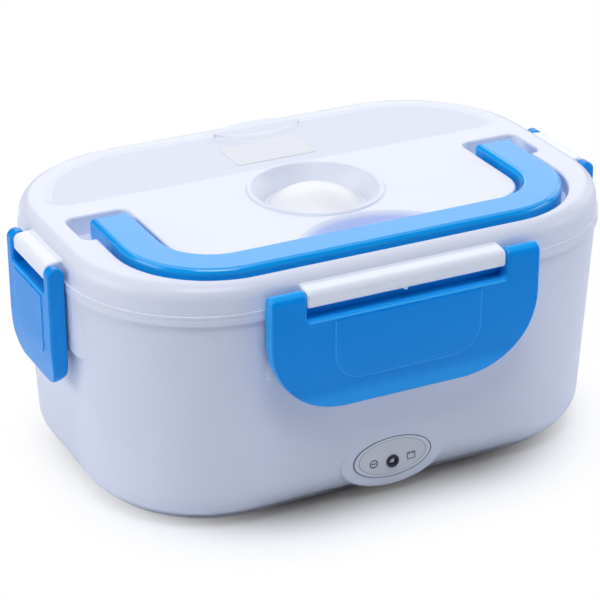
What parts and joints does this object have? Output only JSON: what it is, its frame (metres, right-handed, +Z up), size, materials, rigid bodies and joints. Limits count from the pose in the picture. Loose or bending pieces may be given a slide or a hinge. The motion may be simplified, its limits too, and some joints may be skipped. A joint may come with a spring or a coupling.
{
  "type": "electric lunch box",
  "caption": "Oval-cornered electric lunch box: heated tub with food containers, clip-on lid with carrying handle, spoon compartment, steam vent and side latches.",
  "frame": {"origin": "on the ground under the middle of the box, at the underside of the feet", "axes": "+X right along the long side seen from the front, -Y out of the front with the indicator, +Z up"},
  "size_m": [0.2452, 0.1702, 0.1088],
  "materials": {
    "housing": "glossy white polypropylene",
    "tub": "glossy white polypropylene",
    "lid": "glossy white polypropylene",
    "blue": "glossy blue polypropylene",
    "window": "translucent polypropylene",
    "container": "white food-grade polypropylene",
    "container_lid": "translucent polypropylene",
    "silicone": "off-white silicone",
    "feet": "black rubber",
    "plate": "brushed aluminium",
    "steel": "plated steel",
    "brass": "nickel-plated brass",
    "black": "black plastic",
    "panel": "satin silver-grey",
    "lens": "grey translucent lens",
    "board": "green circuit board",
    "label": "plain paper label",
    "wire": "insulated wire",
    "cutlery": "white plastic"
  },
  "bodies": {
    "base": {"base_housing": "housing", "base_cover": "housing", "base_feet": "feet", "base_screws": "steel", "tub_rim": "tub", "inner_tub": "tub", "screw_posts": "tub", "heating_plate": "plate", "ptc_heater": "plate", "heater_strap": "steel", "strap_screws": "steel", "thermostat": "steel", "thermal_fuse": "steel", "inner_wires": "wire", "power_inlet": "black", "inlet_pins": "brass", "indicator_panel": "panel", "led_bezel": "black", "led_lens": "lens", "led_board": "board"},
    "container": {"food_container": "container"},
    "small_container": {"small_container": "container"},
    "small_lid": {"small_container_lid": "container_lid"},
    "lid": {"lid_shell": "lid", "lid_inner_cover": "lid", "lid_gasket": "silicone"},
    "handle": {"carry_handle": "blue"},
    "window": {"spoon_window": "window", "blank_label": "label"},
    "spoon": {"spoon": "cutlery"},
    "vent_plug": {"vent_plug": "silicone"},
    "latch_front": {"latch_front": "blue"},
    "latch_right": {"latch_right": "blue"},
    "latch_back": {"latch_back": "blue"},
    "latch_left": {"latch_left": "blue"}
  },
  "joints": [
    {"name": "lid_lift", "type": "slide", "parent": "base", "child": "lid", "axis": [0, 0, 1], "range_m": [0, 0.16]},
    {"name": "latch_front_hinge", "type": "hinge", "parent": "lid", "child": "latch_front", "pos_m": [0, -0.08125, 0.0981], "axis": [-1, 0, 0], "range_deg": [0, 115]},
    {"name": "latch_back_hinge", "type": "hinge", "parent": "lid", "child": "latch_back", "pos_m": [0, 0.08125, 0.0981], "axis": [1, 0, 0], "range_deg": [0, 115]},
    {"name": "latch_left_hinge", "type": "hinge", "parent": "lid", "child": "latch_left", "pos_m": [-0.11875, 0, 0.0981], "axis": [0, 1, 0], "range_deg": [0, 115]},
    {"name": "latch_right_hinge", "type": "hinge", "parent": "lid", "child": "latch_right", "pos_m": [0.11875, 0, 0.0981], "axis": [0, -1, 0], "range_deg": [0, 115]},
    {"name": "handle_swing", "type": "hinge", "parent": "lid", "child": "handle", "pos_m": [0, -0.0024, 0.1021], "axis": [-1, 0, 0], "range_deg": [0, 90]},
    {"name": "vent_plug_pull", "type": "slide", "parent": "lid", "child": "vent_plug", "axis": [0, 0, 1], "range_m": [0, 0.02]},
    {"name": "window_lift", "type": "slide", "parent": "lid", "child": "window", "axis": [0, 0, 1], "range_m": [0, 0.06]},
    {"name": "spoon_lift", "type": "slide", "parent": "lid", "child": "spoon", "axis": [0, 0, 1], "range_m": [0, 0.03]},
    {"name": "container_lift", "type": "slide", "parent": "base", "child": "container", "axis": [0, 0, 1], "range_m": [0, 0.072]},
    {"name": "small_container_lift", "type": "slide", "parent": "container", "child": "small_container", "axis": [0, 0, 1], "range_m": [0, 0.04]},
    {"name": "small_lid_lift", "type": "slide", "parent": "small_container", "child": "small_lid", "axis": [0, 0, 1], "range_m": [0, 0.024]}
  ],
  "couplings": [
    {"joint": "spoon_lift", "follows": "window_lift", "ratio": 0.5},
    {"joint": "container_lift", "follows": "lid_lift", "ratio": 0.45},
    {"joint": "small_container_lift", "follows": "lid_lift", "ratio": 0.25},
    {"joint": "small_lid_lift", "follows": "lid_lift", "ratio": 0.15}
  ]
}
